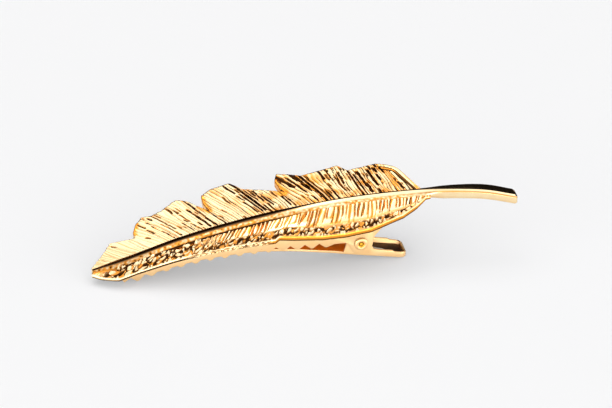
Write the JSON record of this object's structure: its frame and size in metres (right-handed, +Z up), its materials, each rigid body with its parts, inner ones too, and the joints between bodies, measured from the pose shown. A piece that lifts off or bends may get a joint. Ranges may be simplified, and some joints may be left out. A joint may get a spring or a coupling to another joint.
{
  "type": "hair clip",
  "caption": "Alligator hair clip with toothed sprung jaws under a cast, gold-plated feather ornament.",
  "frame": {"origin": "middle of the base of the bounding box, on the surface that the clip rests on", "axes": "+X along the feather from its tip to the end of its quill, +Y across it towards the wider vane, +Z up"},
  "size_m": [0.088, 0.0208, 0.0164],
  "materials": {
    "gold_plated_casting": "bright gold plating over a ribbed zinc casting, with dark antiquing in the grooves",
    "gold_plated_steel": "bright gold plating over stamped sheet steel",
    "spring_steel": "drawn round wire, lightly oiled",
    "tin_solder": "satin, as it cooled"
  },
  "bodies": {
    "ornament": {"feather": "gold_plated_casting", "upper_jaw": "gold_plated_steel", "hinge_rivet": "gold_plated_steel", "torsion_spring": "spring_steel", "solder_front": "tin_solder", "solder_rear": "tin_solder"},
    "lower_jaw": {"lower_jaw": "gold_plated_steel"}
  },
  "joints": [
    {"name": "jaw_hinge", "type": "hinge", "parent": "ornament", "child": "lower_jaw", "pos_m": [0.0112, -0.00189, 0.00469], "axis": [0, -1, 0], "range_deg": [0, 30], "stiffness_Nm_per_rad": 0.03, "springref_deg": -28.65, "deforming": ["torsion_spring"]}
  ]
}
